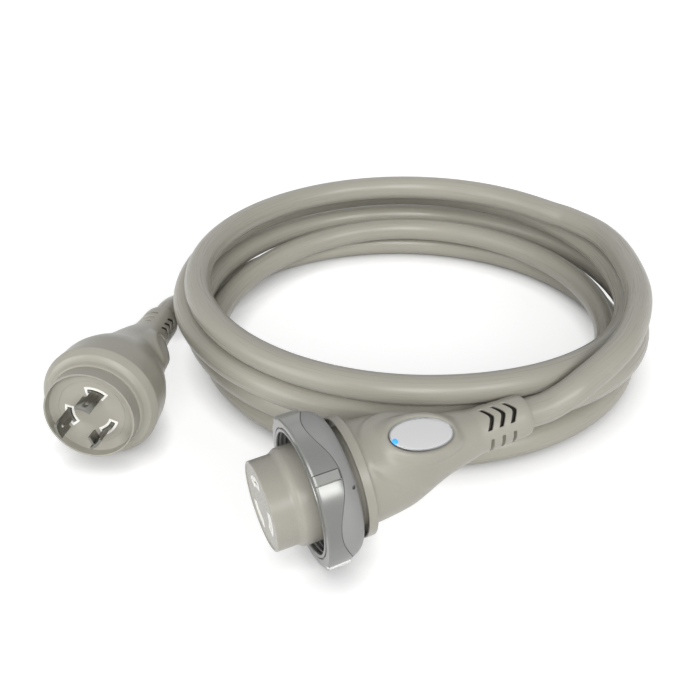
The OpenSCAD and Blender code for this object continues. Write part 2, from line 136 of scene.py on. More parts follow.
def coil_point(q):
    """Point of the coil after q quarter turns."""
    i = min(int(math.floor(q)), len(COIL) - 2)
    w = q - i
    b, c = COIL[i][0], COIL[i + 1][0]
    a = COIL[i - 1][0] if i else 2 * b - c
    d = COIL[i + 2][0] if i + 2 < len(COIL) else 2 * c - b
    r = between(a, b, c, d, w)
    z = (COIL[i][1] * (1 + 2 * w) * (1 - w) ** 2 + coil_slope(i) * w * (1 - w) ** 2
         + COIL[i + 1][1] * w * w * (3 - 2 * w) + coil_slope(i + 1) * w * w * (w - 1))
    turn = math.radians(180 - 90 * q)
    return Vector((COIL_AT[0] + r * math.cos(turn), COIL_AT[1] + r * math.sin(turn), z))


def coil_dir(q):
    return (coil_point(q + 0.01) - coil_point(q - 0.01)).normalized()


def cable_route():
    """The jacket's line from the connector's boot, down the coil and into the plug's boot, in mm."""
    out = -axis_of(CONN_HEADING, CONN_TILT)
    away = -axis_of(PLUG_HEADING, PLUG_TILT)
    top, top_dir = coil_point(COIL_TO), coil_dir(COIL_TO)
    foot, foot_dir = coil_point(COIL_FROM), coil_dir(COIL_FROM)
    conn, plug = Vector(CONN_AT), Vector(PLUG_AT)
    lead = smooth([conn - IN_BOOT * out, conn, conn + END_RUN * out, *CONNECTOR_ROUTE,
                   top + 2 * END_RUN * top_dir, top + END_RUN * top_dir], 12)
    steps = round((COIL_TO - COIL_FROM) * 60)
    coil = [coil_point(COIL_FROM + (COIL_TO - COIL_FROM) * i / steps) for i in range(steps + 1)]
    tail = smooth([plug - IN_BOOT * away, plug, plug + END_RUN * away, *PLUG_ROUTE,
                   foot - 2 * END_RUN * foot_dir, foot - END_RUN * foot_dir], 12)
    return lead + coil[::-1] + tail[::-1]


def even_line(points, step):
    """The same line with points at even distances."""
    p = np.array([tuple(v) for v in points])
    run = np.concatenate([[0], np.cumsum(np.linalg.norm(np.diff(p, axis=0), axis=1))])
    at = np.linspace(0, run[-1], round(run[-1] / step) + 1)
    return np.stack([np.interp(at, run, p[:, k]) for k in range(3)], 1)


# ---------------------------------------------------------------- meshes

def new_piece(name, verts, faces, sharp=32):
    """A smooth shaded mesh object, its place in its mesh, in metres."""
    mesh = bpy.data.meshes.new(name)
    mesh.from_pydata([tuple(v) for v in verts], [], [tuple(f) for f in faces])
    mesh.validate()
    obj = bpy.data.objects.new(name, mesh)
    bpy.context.scene.collection.objects.link(obj)
    turn_outwards(mesh)
    soften(mesh, sharp)
    return obj


def turn_outwards(mesh):
    bm = bmesh.new()
    bm.from_mesh(mesh)
    bmesh.ops.recalc_face_normals(bm, faces=bm.faces)
    bm.to_mesh(mesh)
    bm.free()


def soften(mesh, sharp):
    """Smooth shading, with edges that turn by more than sharp degrees left crisp."""
    mesh.shade_smooth()
    mesh.set_sharp_from_angle(angle=math.radians(sharp))


def weld(mesh):
    """Joins the points that meet at an axis or seam, and closes the shape there."""
    bm = bmesh.new()
    bm.from_mesh(mesh)
    bmesh.ops.remove_doubles(bm, verts=bm.verts, dist=1e-6)
    bmesh.ops.recalc_face_normals(bm, faces=bm.faces)
    bm.to_mesh(mesh)
    bm.free()


def loft(rows, closed_rows, closed_cols=True):
    """Vertices and faces of a grid of rows. The stack and each row may close on themselves."""
    rows = np.asarray(rows)
    n, m = rows.shape[:2]
    faces = []
    for i in range(n if closed_rows else n - 1):
        j = (i + 1) % n
        for k in range(m if closed_cols else m - 1):
            l = (k + 1) % m
            faces.append((i * m + k, i * m + l, j * m + l, j * m + k))
    return rows.reshape(-1, 3), faces


def round_off(profile, parts=5):
    """Replaces the corners of an (r, s, fillet) outline by arcs, and returns (r, s) points."""
    out = []
    for i, entry in enumerate(profile):
        here = Vector(entry[:2])
        fillet = entry[2] if len(entry) > 2 else 0
        if not fillet or i in (0, len(profile) - 1):
            out.append(here)
            continue
        a = Vector(profile[i - 1][:2]) - here
        b = Vector(profile[i + 1][:2]) - here
        cut = min(fillet, 0.48 * a.length, 0.48 * b.length)
        p, q = here + a.normalized() * cut, here + b.normalized() * cut
        for k in range(parts + 1):
            w = k / parts
            out.append(p * (1 - w) ** 2 + here * 2 * w * (1 - w) + q * w * w)
    return [tuple(v) for v in out]


def refine(profile, step, lo, hi):
    """Adds points so that no run between stations lo and hi is longer than step."""
    out = [profile[0]]
    for a, b in zip(profile, profile[1:]):
        size = math.dist(a, b)
        inside = lo <= a[1] <= hi and lo <= b[1] <= hi
        n = max(1, math.ceil(size / step)) if inside else 1
        out += [(a[0] + (b[0] - a[0]) * k / n, a[1] + (b[1] - a[1]) * k / n) for k in range(1, n + 1)]
    return out


def flow(points, steps=6):
    """A smooth (r, s) curve through the points."""
    return [(v[0], v[1]) for v in smooth([(r, s, 0) for r, s in points], steps)]


def ramp(lo, hi, x):
    """0 below lo, 1 above hi, smooth between. Where hi < lo it falls."""
    w = np.clip((x - lo) / (hi - lo), 0, 1)
    return w * w * (3 - 2 * w)


def blend_max(a, b, k):
    """The larger of the two, with a rounded change from one to the other over the width k."""
    h = np.clip(k - np.abs(a - b), 0, None) / k
    return np.maximum(a, b) + h * h * k / 4


def blend_min(a, b, k):
    return -blend_max(-a, -b, k)


def turned(profile, place, cols, change=None):
    """Rings of a turned shape. change(r, s, angles) may move the radius of a ring's points."""
    rows = []
    for r, s in profile:
        radius = np.full(len(cols), float(r))
        if change is not None:
            radius = change(radius, float(s), cols)
        rows.append(np.stack([radius * np.cos(cols), radius * np.sin(cols), np.full(len(cols), s)], 1))
    return put(np.array(rows), place)


def put(points, place):
    """Points in mm of an end piece's frame, as metres in the part's frame."""
    m = np.array(place)
    return np.asarray(points) * MM @ m[:3, :3].T + m[:3, 3]


def circle(n):
    return np.linspace(0, math.tau, n, endpoint=False)


def prism(name, outline, lo, hi, place):
    """A closed prism over an (x, y) outline in mm, between two heights."""
    n = len(outline)
    verts = [(x, y, z) for z in (lo, hi) for x, y in outline]
    faces = [tuple(range(n)), tuple(range(n, 2 * n))]
    faces += [(i, (i + 1) % n, n + (i + 1) % n, n + i) for i in range(n)]
    return new_piece(name, put(verts, place), faces, 30)


def arc_sector(r1, r2, half, turn, corner=0.0, steps=24):
    """Outline of a part of a ring, seen along the axis, in mm."""
    inset1, inset2 = math.degrees(corner / r1), math.degrees(corner / r2)
    pts = []
    for r, ins, way in ((r2, inset2, 1), (r1, inset1, -1)):
        for k in range(steps + 1):
            a = math.radians(turn + way * (half - ins) * (2 * k / steps - 1))
            pts.append((r * math.cos(a), r * math.sin(a)))
        if corner:
            a = math.radians(turn + way * half)
            rc = r - corner if way == 1 else r + corner
            pts.append((rc * math.cos(a), rc * math.sin(a)))
            rn = (r1 + corner) if way == 1 else (r2 - corner)
            pts.append((rn * math.cos(a), rn * math.sin(a)))
    return pts


def slot_frame(name, outer, inner, lo, hi):
    """A frame round a blade's slot. Its outside and its opening have a half width (mm) and a half angle."""
    edge = 0.12
    rows = []
    for (across, half), inset, z in ((outer, 0, lo), (outer, 0, hi - edge), (outer, edge, hi),
                                     (inner, -edge, hi), (inner, 0, hi - edge), (inner, 0, lo)):
        wide = across - inset
        turned_in = math.degrees(inset / BLADE_R)
        rows.append([(x, y, z) for x, y in arc_sector(BLADE_R - wide, BLADE_R + wide, half - turned_in, 0)])
    verts, faces = loft(put(np.array(rows), IN_PLACE), True)
    return new_piece(name, verts, faces, 30)


def slot_cutters(wide, half, corner, lo, hi):
    """Cutters for the three curved slots: half width, half angle, corner, and heights from and to."""
    return [prism("slot", arc_sector(BLADE_R - wide, BLADE_R + wide, half, turn, corner), lo, hi, IN_PLACE)
            for turn in BLADE_TURNS]


def carve(obj, cutters):
    """Takes the cutters out of the piece, and removes them."""
    for cutter in cutters:
        mod = obj.modifiers.new("carve", "BOOLEAN")
        mod.operation, mod.object, mod.solver = "DIFFERENCE", cutter, "EXACT"
    bake(obj)
    for cutter in cutters:
        drop(cutter)


def bake(obj):
    """Turns what the modifiers make into the piece's plain mesh."""
    graph = bpy.context.evaluated_depsgraph_get()
    mesh = bpy.data.meshes.new_from_object(obj.evaluated_get(graph))
    obj.modifiers.clear()
    old, obj.data = obj.data, mesh
    mesh.name = obj.name
    bpy.data.meshes.remove(old)


def drop(obj):
    mesh = obj.data
    bpy.data.objects.remove(obj)
    bpy.data.meshes.remove(mesh)


def finish_piece(obj, body, material, stands_for=()):
    """Gives the piece its finish, its body and the CAD nodes that it stands for."""
    obj.data.materials.clear()
    obj.data.materials.append(material)
    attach(obj, body)
    if stands_for:
        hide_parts(*stands_for)
    return obj


# ---------------------------------------------------------------- materials

def add(tree, kind, inputs=None, **settings):
    """Adds a node. Inputs are values or another node's outputs, by socket name or number."""
    node = tree.nodes.new(kind)
    for key, value in settings.items():
        setattr(node, key, value)
    for key, value in (inputs or {}).items():
        if isinstance(value, bpy.types.NodeSocket):
            tree.links.new(value, node.inputs[key])
        else:
            node.inputs[key].default_value = value
    return node


def blank(name):
    """A material with a surface shader, and the tree that feeds it."""
    mat = bpy.data.materials.new(name)
    mat.use_nodes = True
    tree = mat.node_tree
    tree.nodes.clear()
    shader = add(tree, "ShaderNodeBsdfPrincipled")
    add(tree, "ShaderNodeOutputMaterial", {"Surface": shader.outputs["BSDF"]})
    return mat, tree, shader


def rgba(colour):
    return (*tuple(colour)[:3], 1)


def moulded_plastic(name, colour, roughness, grain_mm=0.35, grain=0.05, shade=0.05):
    """Injection moulded plastic: an even tone with slow flow shading and a fine spark-eroded grain."""
    mat, tree, shader = blank(name)
    shader.inputs["IOR"].default_value = 1.5
    shader.inputs["Specular IOR Level"].default_value = 0.3
    where = add(tree, "ShaderNodeTexCoord").outputs["Object"]
    slow = add(tree, "ShaderNodeTexNoise", {"Vector": where, "Scale": 1 / (24 * MM), "Detail": 2.0})
    tint = add(tree, "ShaderNodeMix", {"Factor": slow.outputs["Fac"],
                                       "A": rgba(c * (1 - shade) for c in colour),
                                       "B": rgba(min(1, c * (1 + shade)) for c in colour)},
               data_type="RGBA")
    tree.links.new(tint.outputs["Result"], shader.inputs["Base Color"])
    fine = add(tree, "ShaderNodeTexNoise", {"Vector": where, "Scale": 1 / (grain_mm * MM), "Detail": 3.0})
    rough = add(tree, "ShaderNodeMapRange", {"Value": fine.outputs["Fac"], "From Min": 0.3, "From Max": 0.7,
                                             "To Min": roughness - 0.05, "To Max": roughness + 0.06})
    tree.links.new(rough.outputs["Result"], shader.inputs["Roughness"])
    bump = add(tree, "ShaderNodeBump", {"Height": fine.outputs["Fac"], "Strength": grain,
                                        "Distance": 0.1 * MM})
    tree.links.new(bump.outputs["Normal"], shader.inputs["Normal"])
    return mat


def extruded_jacket(name, colour, roughness):
    """Extruded PVC jacket: satin, with faint drawn lines along the cable and slow tone changes."""
    mat, tree, shader = blank(name)
    shader.inputs["IOR"].default_value = 1.52
    shader.inputs["Specular IOR Level"].default_value = 0.3
    along = add(tree, "ShaderNodeUVMap", uv_map="jacket")
    split = add(tree, "ShaderNodeSeparateXYZ", {"Vector": along.outputs["UV"]})
    # 0.66 lines to each of the jacket's 52 mm round, about 1.5 mm apart, and each about 60 mm long
    across = add(tree, "ShaderNodeMath", {0: split.outputs["X"], 1: 52 * 0.66}, operation="MULTIPLY")
    run = add(tree, "ShaderNodeMath", {0: split.outputs["Y"], 1: 1 / 0.06}, operation="MULTIPLY")
    stretch = add(tree, "ShaderNodeCombineXYZ", {"X": across.outputs[0], "Y": run.outputs[0]})
    lines = add(tree, "ShaderNodeTexNoise", {"Vector": stretch.outputs["Vector"], "Scale": 1.0,
                                             "Detail": 2.0})
    where = add(tree, "ShaderNodeTexCoord").outputs["Object"]
    slow = add(tree, "ShaderNodeTexNoise", {"Vector": where, "Scale": 1 / (45 * MM), "Detail": 1.0})
    tint = add(tree, "ShaderNodeMix", {"Factor": slow.outputs["Fac"],
                                       "A": rgba(c * 0.96 for c in colour),
                                       "B": rgba(c * 1.04 for c in colour)},
               data_type="RGBA")
    tree.links.new(tint.outputs["Result"], shader.inputs["Base Color"])
    rough = add(tree, "ShaderNodeMapRange", {"Value": lines.outputs["Fac"], "From Min": 0.3, "From Max": 0.7,
                                             "To Min": roughness - 0.03, "To Max": roughness + 0.05})
    tree.links.new(rough.outputs["Result"], shader.inputs["Roughness"])
    bump = add(tree, "ShaderNodeBump", {"Height": lines.outputs["Fac"], "Strength": 0.10,
                                        "Distance": 0.15 * MM})
    tree.links.new(bump.outputs["Normal"], shader.inputs["Normal"])
    return mat


def metal(name, colour, roughness, streak_mm=0.25, streak=0.05):
    """Sheet or plated metal, with fine marks from rolling and punching."""
    mat, tree, shader = blank(name)
    shader.inputs["Metallic"].default_value = 1.0
    shader.inputs["Base Color"].default_value = rgba(colour)
    where = add(tree, "ShaderNodeTexCoord").outputs["Object"]
    drawn = add(tree, "ShaderNodeMapping", {"Vector": where, "Scale": (1.0, 0.12, 1.0)})
    marks = add(tree, "ShaderNodeTexNoise", {"Vector": drawn.outputs["Vector"], "Scale": 1 / (streak_mm * MM),
                                             "Detail": 3.0})
    rough = add(tree, "ShaderNodeMapRange", {"Value": marks.outputs["Fac"], "From Min": 0.3, "From Max": 0.7,
                                             "To Min": roughness - 0.05, "To Max": roughness + 0.08})
    tree.links.new(rough.outputs["Result"], shader.inputs["Roughness"])
    bump = add(tree, "ShaderNodeBump", {"Height": marks.outputs["Fac"], "Strength": streak,
                                        "Distance": 0.05 * MM})
    tree.links.new(bump.outputs["Normal"], shader.inputs["Normal"])
    return mat


def coated_silver(name, colour, roughness):
    """Silver lacquer on moulded nylon: a satin grey with a faint sparkle of flake under a clear coat."""
    mat, tree, shader = blank(name)
    shader.inputs["Metallic"].default_value = 0.5
    shader.inputs["Coat Weight"].default_value = 0.5
    shader.inputs["Coat Roughness"].default_value = 0.22
    where = add(tree, "ShaderNodeTexCoord").outputs["Object"]
    # real flake is under 0.1 mm; it is drawn 0.3 mm wide so that it shows
    flake = add(tree, "ShaderNodeTexVoronoi", {"Vector": where, "Scale": 1 / (0.3 * MM)})
    grey = add(tree, "ShaderNodeSeparateColor", {"Color": flake.outputs["Color"]})
    tint = add(tree, "ShaderNodeMix", {"Factor": grey.outputs["Red"],
                                       "A": rgba(c * 0.97 for c in colour),
                                       "B": rgba(min(1, c * 1.03) for c in colour)},
               data_type="RGBA")
    tree.links.new(tint.outputs["Result"], shader.inputs["Base Color"])
    rough = add(tree, "ShaderNodeMapRange", {"Value": grey.outputs["Green"],
                                             "To Min": roughness - 0.02, "To Max": roughness + 0.02})
    tree.links.new(rough.outputs["Result"], shader.inputs["Roughness"])
    return mat


def lit_lens(name, colour, glow):
    """Tinted clear lens with a small lamp behind it."""
    mat, tree, shader = blank(name)
    shader.inputs["Base Color"].default_value = rgba(colour)
    shader.inputs["Roughness"].default_value = 0.12
    shader.inputs["Emission Color"].default_value = rgba(colour)
    shader.inputs["Emission Strength"].default_value = glow
    where = add(tree, "ShaderNodeTexCoord").outputs["Object"]
    ripple = add(tree, "ShaderNodeTexNoise", {"Vector": where, "Scale": 1 / (0.6 * MM), "Detail": 1.0})
    bump = add(tree, "ShaderNodeBump", {"Height": ripple.outputs["Fac"], "Strength": 0.05,
                                        "Distance": 0.05 * MM})
    tree.links.new(bump.outputs["Normal"], shader.inputs["Normal"])
    return mat


# ---------------------------------------------------------------- settings

class CableSettings(bpy.types.PropertyGroup):
    diameter: FloatProperty(name="Diameter", description="Outer diameter of the jacket",
                            default=0.0166, min=0.015, max=0.017, unit="LENGTH")
    sides: IntProperty(name="Sides", description="Faces round the jacket", default=28, min=12, max=48)
    colour: FloatVectorProperty(name="Jacket", description="Colour of the PVC jacket", subtype="COLOR",
                                size=3, default=tone("#A5A297"), min=0, max=1)
    roughness: FloatProperty(name="Roughness", description="Roughness of the jacket", default=0.28,
                             min=0.1, max=1, subtype="FACTOR")


class HousingSettings(bpy.types.PropertyGroup):
    colour: FloatVectorProperty(name="Housing", description="Colour of the moulded housings", subtype="COLOR",
                                size=3, default=tone("#A6A398"), min=0, max=1)
    nose_colour: FloatVectorProperty(name="Nose", description="Colour of the noses", subtype="COLOR",
                                     size=3, default=tone("#A3A096"), min=0, max=1)
    groove_depth: FloatProperty(name="Groove depth", description="Depth of the grooves in the boots",
                                default=0.0026, min=0.001, max=0.003, unit="LENGTH")


class RingSettings(bpy.types.PropertyGroup):
    silver: FloatVectorProperty(name="Cover", description="Colour of the bright cover", subtype="COLOR",
                                size=3, default=tone("#7F807D"), min=0, max=1)
    grey: FloatVectorProperty(name="Ring", description="Colour of the ring behind the cover", subtype="COLOR",
                              size=3, default=tone("#969695"), min=0, max=1)
    wave: FloatProperty(name="Wave", description="Half height of the waves in the cover's rear edge",
                        default=0.0034, min=0.0, max=0.004, unit="LENGTH")


class StageSettings(bpy.types.PropertyGroup):
    lens: FloatProperty(name="Lens", description="Focal length of the camera", default=50.35, min=20,
                        max=120, subtype="DISTANCE_CAMERA")
    pitch: FloatProperty(name="Pitch", description="Angle of the camera below the horizon",
                         default=math.radians(31.43), subtype="ANGLE")
    key: FloatProperty(name="Key", description="Strength of the main lamp", default=1.6, min=0, max=5)
    fill: FloatProperty(name="Fill", description="Strength of the even light from all round",
                        default=0.2, min=0, max=2)
    floor_white: FloatProperty(name="Floor white", default=0.72, min=0, max=1,
                               description="Even white added to the floor where it is seen")


# ---------------------------------------------------------------- camera, floor and light
CAMERA_AT = (0.040, -0.458, 0.353)
# each lamp's name, the heading and height that it shines from, its share of the key and its softness
LAMPS = (("key", 0, 30, 1.0, 28), ("left", -60, 10, 0.85, 40), ("right", 38, 30, 0.6, 24),
         ("back", 178, 42, 0.1, 40))
# grey of the paper as it lights the object, and as it is seen under the even white
PAPER, PAPER_SEEN = 0.88, 0.5
# the even white fades within this distance of what lies on the floor, for the soft dark line under it
CONTACT_SHADE = 16 * MM
FLOOR_HALF = 4.0


class CORD_OT_stage(bpy.types.Operator):
    """Sets the camera, the pale floor and the soft studio light"""
    bl_idname = "power_cord.stage"
    bl_label = "Stage"

    def execute(self, context):
        s = context.scene.cord_stage
        scene = context.scene
        scene.view_settings.view_transform = "Standard"
        camera = bpy.data.objects.new("camera", bpy.data.cameras.new("camera"))
        camera.data.lens, camera.data.sensor_width = s.lens, 36
        camera.data.clip_end = 50
        camera.location = CAMERA_AT
        camera.rotation_euler = (math.pi / 2 - s.pitch, 0, 0)
        scene.collection.objects.link(camera)
        scene.camera = camera
        for name, turn, up, share, soft in LAMPS:
            lamp = bpy.data.objects.new(name, bpy.data.lights.new(name, "SUN"))
            lamp.data.energy, lamp.data.angle = s.key * share, math.radians(soft)
            lamp.rotation_euler = (math.radians(90 - up), 0, math.radians(turn))
            scene.collection.objects.link(lamp)
        self.world(scene, s)
        self.floor(s)
        return {"FINISHED"}

    def world(self, scene, s):
        world = scene.world or bpy.data.worlds.new("world")
        scene.world = world
        world.use_nodes = True
        tree = world.node_tree
        tree.nodes.clear()
        shown = self.seen(tree)
        even = add(tree, "ShaderNodeBackground", {"Color": (1, 1, 1, 1), "Strength": s.fill})
        white = add(tree, "ShaderNodeBackground", {"Color": (1, 1, 1, 1), "Strength": 1.0})
        mix = add(tree, "ShaderNodeMixShader", {0: shown, 1: even.outputs[0], 2: white.outputs[0]})
        add(tree, "ShaderNodeOutputWorld", {"Surface": mix.outputs[0]})

    def seen(self, tree):
        """1 for what the camera, a reflection or a clear lens shows, 0 for what lights the object."""
        path = add(tree, "ShaderNodeLightPath").outputs
        both = add(tree, "ShaderNodeMath", {0: path["Is Camera Ray"], 1: path["Is Glossy Ray"]},
                   operation="MAXIMUM")
        return add(tree, "ShaderNodeMath", {0: both.outputs[0], 1: path["Is Transmission Ray"]},
                   operation="MAXIMUM").outputs[0]

    def floor(self, s):
        corners = [(x * FLOOR_HALF, y * FLOOR_HALF, 0) for x, y in ((-1, -1), (1, -1), (1, 1), (-1, 1))]
        floor = new_piece("floor", corners, [(0, 1, 2, 3)])
        mat = bpy.data.materials.new("white paper sweep")
        mat.use_nodes = True
        tree = mat.node_tree
        tree.nodes.clear()
        # matt paper that lights the object from below, and looks white with a light shadow on it
        paper = add(tree, "ShaderNodeBsdfDiffuse", {"Color": rgba([PAPER] * 3)})
        shaded = add(tree, "ShaderNodeBsdfDiffuse", {"Color": rgba([PAPER_SEEN] * 3)})
        near = add(tree, "ShaderNodeAmbientOcclusion", {"Distance": CONTACT_SHADE}, samples=8)
        level = add(tree, "ShaderNodeMath", {0: near.outputs["AO"], 1: s.floor_white}, operation="MULTIPLY")
        glow = add(tree, "ShaderNodeEmission", {"Color": (1, 1, 1, 1), "Strength": level.outputs[0]})
        white = add(tree, "ShaderNodeAddShader", {0: shaded.outputs[0], 1: glow.outputs[0]})
        mix = add(tree, "ShaderNodeMixShader", {0: self.seen(tree), 1: paper.outputs[0],
                                                2: white.outputs[0]})
        add(tree, "ShaderNodeOutputMaterial", {"Surface": mix.outputs[0]})
        floor.data.materials.append(mat)


# ---------------------------------------------------------------- repeated and wound pieces

def node_group(name, sockets):
    """A geometry tree with named inputs, and the sockets that give their values inside it."""
    tree = bpy.data.node_groups.new(name, "GeometryNodeTree")
    tree.interface.new_socket("Geometry", in_out="OUTPUT", socket_type="NodeSocketGeometry")
    tree.interface.new_socket("Geometry", in_out="INPUT", socket_type="NodeSocketGeometry")
    for label, kind in sockets:
        tree.interface.new_socket(label, in_out="INPUT", socket_type=kind)
    return tree, add(tree, "NodeGroupInput").outputs


def run_tree(obj, tree, values):
    """Runs a geometry tree on the piece with these inputs, and keeps the result as its plain mesh."""
    mod = obj.modifiers.new(tree.name, "NODES")
    mod.node_group = tree
    for item in tree.interface.items_tree:
        if item.in_out == "INPUT" and item.name in values:
            mod[item.identifier] = values[item.name]
    obj.update_tag()
    bpy.context.view_layer.update()
    bake(obj)


def repeat_tree():
    """Repeats a piece round the Z axis and joins neighbours whose edges meet."""
    tree, given = node_group("repeat round axis", (("Count", "NodeSocketInt"), ("First", "NodeSocketFloat"),
                                                   ("Finish", "NodeSocketMaterial")))
    spots = add(tree, "GeometryNodePoints", {"Count": given["Count"]})
    index = add(tree, "GeometryNodeInputIndex")
    step = add(tree, "ShaderNodeMath", {0: math.tau, 1: given["Count"]}, operation="DIVIDE")
    turn = add(tree, "ShaderNodeMath", {0: index.outputs[0], 1: step.outputs[0], 2: given["First"]},
               operation="MULTIPLY_ADD")
    spin = add(tree, "ShaderNodeCombineXYZ", {"Z": turn.outputs[0]})
    copies = add(tree, "GeometryNodeInstanceOnPoints",
                 {"Points": spots.outputs[0], "Instance": given["Geometry"], "Rotation": spin.outputs[0]})
    real = add(tree, "GeometryNodeRealizeInstances", {"Geometry": copies.outputs[0]})
    joined = add(tree, "GeometryNodeMergeByDistance",
                 {"Geometry": real.outputs[0], "Distance": 0.002 * MM})
    done = add(tree, "GeometryNodeSetMaterial",
               {"Geometry": joined.outputs[0], "Material": given["Finish"]})
    add(tree, "NodeGroupOutput", {"Geometry": done.outputs[0]})
    return tree


def thread_tree():
    """Winds a ridge with a trapezoid section on a helix round the Z axis."""
    sizes = ("Turns", "Radius", "Length", "Height", "Root", "Crest")
    tree, given = node_group("wound thread", [(size, "NodeSocketFloat") for size in sizes]
                             + [("Finish", "NodeSocketMaterial")])
    helix = add(tree, "GeometryNodeCurveSpiral",
                {"Resolution": 120, "Rotations": given["Turns"], "Start Radius": given["Radius"],
                 "End Radius": given["Radius"], "Height": given["Length"]})
    upright = add(tree, "GeometryNodeSetCurveNormal", {"Curve": helix.outputs[0]}, mode="Z_UP")
    section = add(tree, "GeometryNodeCurvePrimitiveQuadrilateral",
                  {"Bottom Width": given["Root"], "Top Width": given["Crest"], "Height": given["Height"],
                   "Offset": 0.0}, mode="TRAPEZOID")
    # the section is drawn upright, and a quarter turn lays its height across the axis
    inward = add(tree, "GeometryNodeTransform",
                 {"Geometry": section.outputs[0], "Rotation": (0, 0, -math.pi / 2)})
    ridge = add(tree, "GeometryNodeCurveToMesh",
                {"Curve": upright.outputs[0], "Profile Curve": inward.outputs[0], "Fill Caps": True})
    real = add(tree, "GeometryNodeRealizeInstances", {"Geometry": ridge.outputs[0]})
    done = add(tree, "GeometryNodeSetMaterial", {"Geometry": real.outputs[0], "Material": given["Finish"]})
    add(tree, "NodeGroupOutput", {"Geometry": done.outputs[0]})
    return tree


def place_mesh(obj, place):
    """Moves a mesh drawn in an end piece's frame, in metres, to its place in the part."""
    obj.data.transform(place)
    turn_outwards(obj.data)


def repeat_at_blades(obj, place, finish):
    """Repeats a small piece at each of the three blades, and gives the three their place and finish."""
    run_tree(obj, repeat_tree(), {"Count": len(BLADE_TURNS), "First": math.radians(BLADE_TURNS[0]),
                                  "Finish": finish})
    place_mesh(obj, place)
    soften(obj.data, 30)
    finish_piece(obj, "cord", finish)


# ---------------------------------------------------------------- shapes of the moulded ends (mm)
# the badge's half axes, its slant, its middle's distance from the axis and station, its turn round the
# axis and its roll in its own plane, and the lamp's place on it
BADGE_A, BADGE_B = 18.3, 9.0
BADGE_TILT = math.radians(14.6)
BADGE_X, BADGE_S = 23.8, 66.0
BADGE_TURN, BADGE_ROLL = math.radians(-3), math.radians(-5)
LAMP_ON_BADGE = (-16.2, -2.2)
# the ovals of the pads: distance from the axis, station, slant and half axes
CONN_OVAL = (BADGE_X, BADGE_S, BADGE_TILT, BADGE_A, BADGE_B)
PLUG_OVAL = (21.3, 52, math.radians(20), 15, 9)
ON_BADGE = (ON_CONNECTOR @ Matrix.Rotation(BADGE_TURN, 4, "Z")
            @ Matrix.Translation(Vector((BADGE_X, 0, BADGE_S)) * MM)
            @ Matrix.Rotation(math.pi / 2 + BADGE_TILT, 4, "Y") @ Matrix.Rotation(BADGE_ROLL, 4, "Z"))
# height of each pad over its plane, by distance out of its oval
BADGE_PAD = ((-9, -1.6), (-0.2, -1.6), (0.15, -0.9), (0.35, -0.9), (0.75, 0.0), (1.3, 0.25), (2.1, 0.1),
             (3.2, -0.7), (4.6, -2.2), (7, -5.5), (12, -16), (40, -60))
PLAIN_PAD = ((-9, -1.0), (0, -1.0), (1.6, -1.1), (2.4, -1.6), (3.4, -2.6), (7, -6.5), (12, -17), (40, -60))
PLUG_PAD = ((-9, -0.5), (-2.2, -0.5), (-1.5, -0.2), (-0.7, -0.15), (0.3, -0.5), (1.6, -1.4), (4, -3.6),
            (8, -8.5), (14, -19), (40, -60))
# radius and station along the sides of the two bodies
CONN_BODY = ((12.3, 27), (12.5, 31), (13.5, 35.5), (15.1, 43.5), (17.0, 52), (19.5, 60), (22.0, 67),
             (24.5, 75), (25.8, 83), (26.6, 91), (BODY_R, 97.6))
PLUG_BODY = ((12.1, 20), (12.6, 26), (14.2, 33), (16.8, 41.5), (19.2, 50), (21.2, 58), (23.4, 65),
             (26.4, 73), (30.0, 81), (32.8, 90), (33.6, 99), (34.2, 105))


def wrap(angle):
    """The same angle between half a turn back and half a turn on."""
    return (angle + math.pi) % math.tau - math.pi


def oval_gap(u, v, a, b):
    """Distance out of an oval with half axes a and b, near its edge."""
    slope = 2 * np.sqrt(u * u / a ** 4 + v * v / b ** 4) + 1e-6
    return np.clip((u * u / a ** 2 + v * v / b ** 2 - 1) / slope, -9, 40)


def pad(r, s, angles, side, oval, heights, soft, roll=0.0):
    """Radius with a flat oval pad added on one side. The pad's plane crosses the station mid at x."""
    x, mid, tilt, a, b = oval
    ang = wrap(angles - side)
    near = np.abs(ang) < 1.2
    cos = np.where(near, np.cos(ang), 1)
    plane = x + math.tan(tilt) * (s - mid)
    u = (s - mid) / math.cos(tilt)
    v = plane * np.where(near, np.tan(ang), 3)
    u, v = u * math.cos(roll) - v * math.sin(roll), u * math.sin(roll) + v * math.cos(roll)
    gap = oval_gap(u, v, a, b)
    top = (plane + np.interp(gap, *zip(*heights)) / math.cos(tilt)) / cos
    # inside the edge the pad alone counts, so that a seat may lie below the body
    both = np.where(gap < 0.6, top, blend_max(r, top, soft))
    return np.where(near & (abs(u) < a + 14), both, r)


def boot_cut(s, angles, radius, first, arms):
    """1 in the grooves of a boot, 0 outside: chevrons on two sides, short bars on the others."""
    cut = np.zeros_like(angles)
    # an arrow's arm is about 1.9 mm wide and a bar 1.7 mm, with soft edges
    half, rise, pace = arms * BOOT_R, 4.2, 6.8
    lean = half / math.hypot(half, rise)
    for i in range(3):
        at = first + pace * i
        for side in (0, math.pi):
            ang = wrap(angles - side)
            y = np.abs(radius * np.sin(ang))
            across = np.abs(s - at - 0.9 - rise * (np.sqrt(y * y + 1.4) - 0.75) / half) * lean
            arm = ramp(1.12, 0.76, across) * ramp(half + 0.3, half - 0.2, y) * (np.abs(ang) < 1.5)
            bar_y = np.abs(radius * np.sin(wrap(ang - math.pi / 2)))
            bar = (ramp(1.0, 0.65, abs(s - at - 4.25)) * ramp(6.7, 6.2, bar_y)
                   * (np.abs(wrap(ang - math.pi / 2)) < 1.5))
            cut = np.maximum(cut, np.maximum(arm, bar))
    return cut


